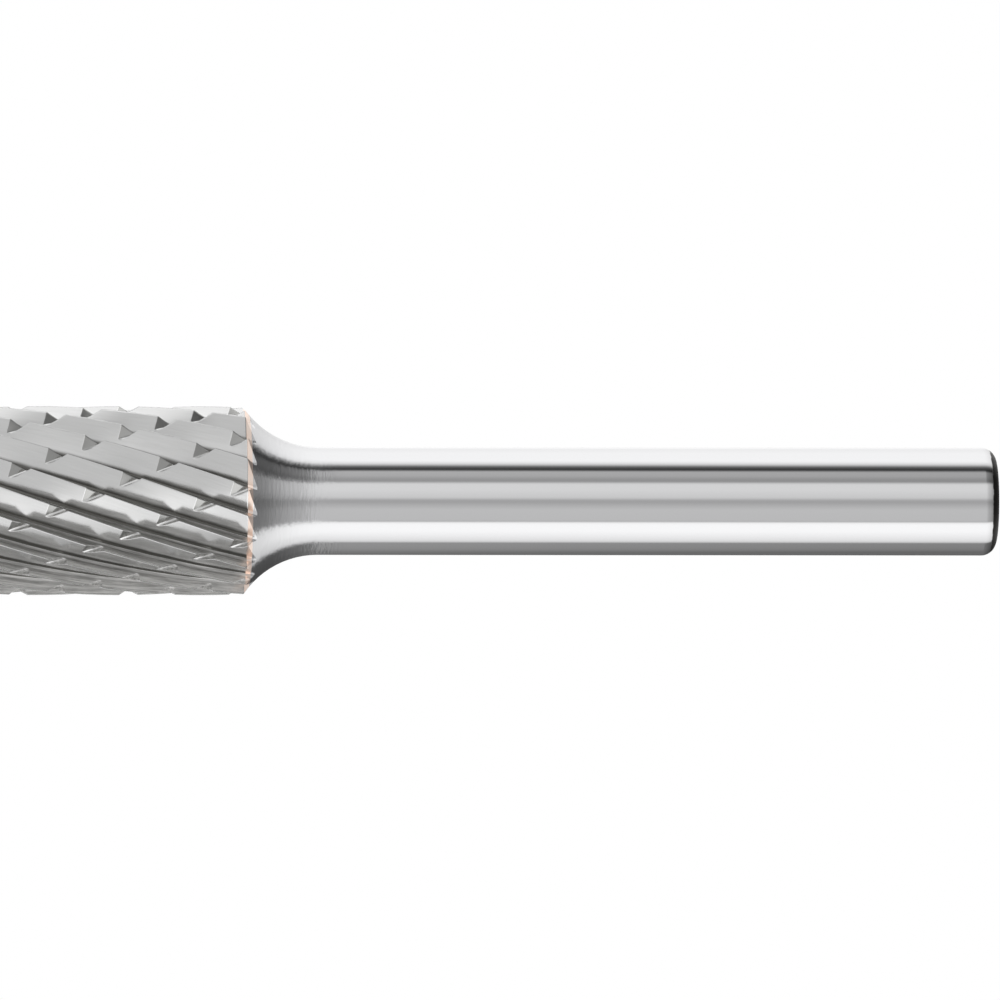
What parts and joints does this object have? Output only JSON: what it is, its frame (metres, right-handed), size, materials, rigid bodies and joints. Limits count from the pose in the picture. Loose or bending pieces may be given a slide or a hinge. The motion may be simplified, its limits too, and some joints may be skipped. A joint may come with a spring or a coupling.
{
  "type": "cylindrical carbide burr",
  "caption": "Rotary burr: a cylindrical double-cut tungsten carbide head brazed onto a round steel shank with a flared neck.",
  "frame": {"origin": "centre of the flat free end of the head, which the burr stands on", "axes": "+Z along the axis from the head to the free end of the shank; X and Y across it, with +X at the first quarter turn from the front at -Y"},
  "size_m": [0.0112, 0.0112, 0.0698],
  "materials": {
    "carbide": "ground tungsten carbide, fine grinding lines along the flutes",
    "braze": "copper-coloured brazing filler, ground flush",
    "steel": "centreless-ground and polished steel, the free end left black and unground"
  },
  "bodies": {
    "root": {"carbide_head": "carbide", "braze_joint": "braze", "steel_shank": "steel"}
  },
  "joints": []
}
